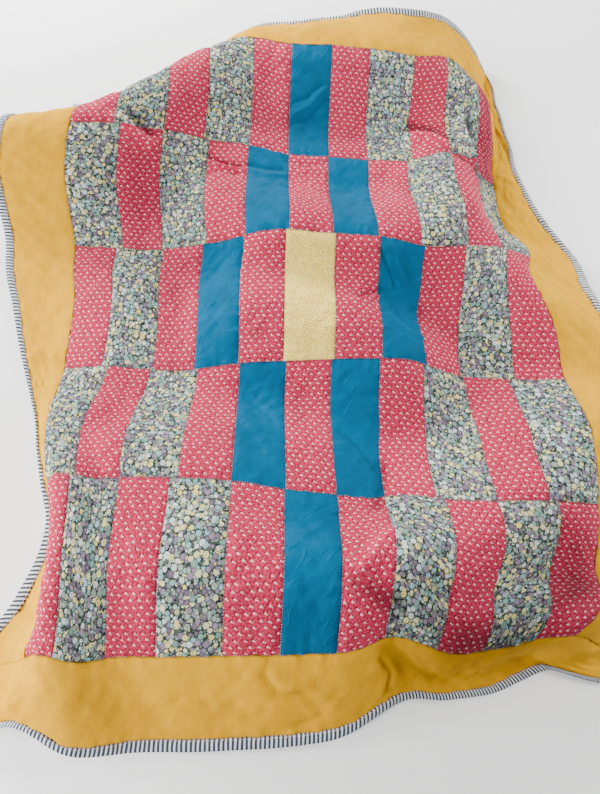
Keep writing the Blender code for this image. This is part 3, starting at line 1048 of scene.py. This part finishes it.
def flower_layer(graph, place, pitch, jitter, small, large, ground):
    """A scatter of blossoms over what lies below."""
    off, (hue, size, turn) = graph.scatter(place, pitch, jitter)
    radius = graph.ease(size, 0.0, 1.0, small, large)
    shape = graph.blossom(off, radius, 6, 0.10, turn)
    inside = graph.fade(shape, 0.90, 1.02)
    outline = graph.fade(shape, 1.08, 1.30)
    ring = graph.math("SINE", graph.math("MULTIPLY_ADD", shape, 9.0,
                                         graph.times(turn, 6.0)))
    petal = graph.scaled(graph.pick(hue, FLORAL_COLOURS),
                         graph.ease(ring, -1.0, 1.0, 0.72, 1.12))
    heart = graph.pick(turn, FLORAL_HEARTS)
    petal = graph.mix(graph.fade(shape, 0.12, 0.24, 0.8), petal, heart)
    colour = graph.mix(graph.times(outline, 0.9), ground, FLORAL_GROUND)
    return graph.mix(inside, colour, petal)


def floral_print():
    """Closely packed round blossoms in pale colours on a dark ground."""
    graph = Graph("floral cotton print")
    place = graph.flat()
    cloud = graph.ease(graph.noise(place, 3.0, 2.0), 0.4, 0.6)
    colour = graph.mix(cloud, FLORAL_GROUND, FLORAL_LIGHTER)
    for pitch, jitter, small, large, start in FLOWER_LAYERS:
        shifted = graph.vector("ADD", place, start)
        colour = flower_layer(graph, shifted, pitch, jitter, small, large,
                              colour)
    return graph.finish_sewn(colour, place)


CREAM_GROUND = (0.91, 0.67, 0.14)
CREAM_LIGHT = (0.94, 0.72, 0.18)
CREAM_LINE = (0.27, 0.15, 0.02)
# The scrolls: spacing in millimetres, turns for each millimetre, how much they
# bend, and how strong their lines are.
SCROLL_PITCH = 9.5
SCROLL_TURNS = 0.31
SCROLL_BEND = 0.7
SCROLL_STRENGTH = 0.80


def cream_print():
    """Cream cotton with fine gold scrolls."""
    graph = Graph("cream cotton print")
    place = graph.flat()
    off, (hand, _, turn) = graph.scatter(place, SCROLL_PITCH, 0.7)
    x, y = graph.split(off)
    side = graph.ease(hand, 0.49, 0.51, -1.0, 1.0)
    angle = graph.math("ARCTAN2", graph.times(y, side), x)
    bend = graph.noise(place, 8.0, 1.0)
    coil = graph.math("MULTIPLY_ADD", bend, SCROLL_BEND, turn)
    coil = graph.math("MULTIPLY_ADD", angle, 1 / (2 * math.pi), coil)
    reach = graph.vector("LENGTH", off)
    coil = graph.math("MULTIPLY_ADD", reach, SCROLL_TURNS, coil)
    line = graph.math("ABSOLUTE", graph.math(
        "SUBTRACT", graph.math("FRACT", coil), 0.5))
    faded = graph.ease(graph.noise(place, 5.0, 1.0), 0.35, 0.55, 0.35, 1.0)
    scroll = graph.times(graph.fade(line, 0.09, 0.20), faded)
    cloud = graph.ease(graph.noise(place, 12.0, 3.0), 0.35, 0.65)
    ground = graph.mix(cloud, CREAM_GROUND, CREAM_LIGHT)
    colour = graph.mix(graph.times(scroll, SCROLL_STRENGTH), ground, CREAM_LINE)
    return graph.finish_sewn(colour, place)


def plain_cloth(name, colour, lighter, crushed=0.0):
    """Plain dyed cotton, a little uneven."""
    graph = Graph(name)
    place = graph.flat()
    cloud = graph.ease(graph.noise(place, 22.0, 4.0, 0.6), 0.35, 0.65)
    return graph.finish_sewn(graph.mix(cloud, colour, lighter), place, crushed)


TICKING_DARK = (0.045, 0.056, 0.080)
TICKING_PALE = (0.62, 0.66, 0.68)
# In millimetres: a stripe and its gap, how unevenly they run, and how far from
# the binding's inner edge its stitches are.
TICKING_REPEAT = 4.8
TICKING_WOBBLE = 1.2
STITCH_INSET = 1.1


def ticking(name, runs_along, inner):
    """Striped ticking, its stripes across the binding, with a stitched edge."""
    graph = Graph(name)
    place = graph.flat()
    x, y = graph.split(place)
    run, off = (y, x) if runs_along else (x, y)
    wobble = graph.times(graph.noise(place, 14.0), TICKING_WOBBLE)
    wave = graph.wave(graph.math("ADD", run, wobble), TICKING_REPEAT)
    stripe = graph.ease(wave, -0.45, 0.10)
    colour = graph.mix(stripe, TICKING_PALE, TICKING_DARK)
    depth = graph.math("SUBTRACT", graph.math("ABSOLUTE", off),
                       inner * PER_METRE)
    from_line = graph.math("ABSOLUTE",
                           graph.math("SUBTRACT", depth, STITCH_INSET))
    dash = graph.ease(graph.wave(run, BINDING_STITCH), -0.35, 0.0)
    stitch = graph.times(graph.fade(from_line, 0.28, 0.42), dash)
    colour = graph.mix(stitch, colour, THREAD)
    return graph.finish(colour, place, graph.times(stitch, STITCH_HEIGHT))


# Each plain cloth's colour and its lighter places, and how crushed the blue is.
BLUE = ((0.001, 0.082, 0.172), (0.001, 0.092, 0.192))
YELLOW = ((0.62, 0.300, 0.001), (0.67, 0.330, 0.001))
BACKING = ((0.62, 0.57, 0.47), (0.66, 0.61, 0.52))
BLUE_CRUSHED = 5.0


def make_looks():
    return {
        "P": pink_print(),
        "F": floral_print(),
        "B": plain_cloth("blue cotton", *BLUE, BLUE_CRUSHED),
        "C": cream_print(),
        "border": plain_cloth("yellow cotton", *YELLOW),
        "backing": plain_cloth("backing cotton", *BACKING),
        "binding along": ticking("ticking of the sides", True,
                                 BORDER_HALF_WIDE),
        "binding across": ticking("ticking of the ends", False,
                                  BORDER_HALF_LONG),
    }


FLOOR_HALF = 3.0
FLOOR_ROUGHNESS = 0.9
FLOOR_COLOURS = ((0.94, 0.935, 0.93), (0.96, 0.955, 0.95))
# Area lights: name, place, the point lit, width in metres, and power in watts.
LIGHTS = (
    ("far left", (-0.7, 1.1, 0.6), (0, 0, 0), 0.5, 40),
    ("far right", (0.4, 1.2, 0.6), (0, 0, 0), 0.5, 12),
    ("near left", (-0.9, -0.8, 0.7), (-0.2, -0.2, 0.0), 0.4, 25),
    ("right", (1.3, 0.0, 0.5), (0, 0, 0), 0.5, 30),
    ("low left", (-2.0, 0.0, 0.6), (0, 0, 0), 0.6, 55),
)
SKY_COLOUR = (1.0, 0.99, 0.98, 1.0)
SKY_STRENGTH = 0.06


def add_floor():
    mesh = bpy.data.meshes.new("floor")
    half = FLOOR_HALF
    mesh.from_pydata([(-half, -half, 0), (half, -half, 0), (half, half, 0),
                      (-half, half, 0)], [], [(0, 1, 2, 3)])
    graph = Graph("pale floor", FLOOR_ROUGHNESS, sheen=0.0)
    coordinates = graph.node("TexCoord")
    cloud = graph.noise(coordinates.outputs["Object"], 0.5)
    colour = graph.mix(cloud, *FLOOR_COLOURS)
    graph.put(graph.shader.inputs["Base Color"], colour)
    mesh.materials.append(graph.material)
    floor = add_object("floor", mesh)


def add_lights():
    for name, place, target, width, power in LIGHTS:
        data = bpy.data.lights.new(name, "AREA")
        data.energy = power
        data.size = width
        light = add_object(name, data)
        light.location = place
        light.visible_camera = False
        away = np.array(place) - np.array(target)
        level = math.hypot(away[0], away[1])
        light.rotation_euler = (math.atan2(level, away[2]), 0,
                                math.atan2(away[1], away[0]) + math.pi / 2)
    world = bpy.data.worlds.new("sky")
    world.use_nodes = True
    background = world.node_tree.nodes["Background"]
    background.inputs[0].default_value = SKY_COLOUR
    background.inputs[1].default_value = SKY_STRENGTH
    bpy.context.scene.world = world


def build():
    add_camera()
    cloth = lay_out()
    looks = make_looks()
    for number, row in enumerate(ROWS):
        add_row(number, row, cloth, looks)
    for edge in EDGES:
        add_border(edge, cloth, looks)
        add_binding(edge, cloth, looks)
    add_floor()
    add_lights()


build()
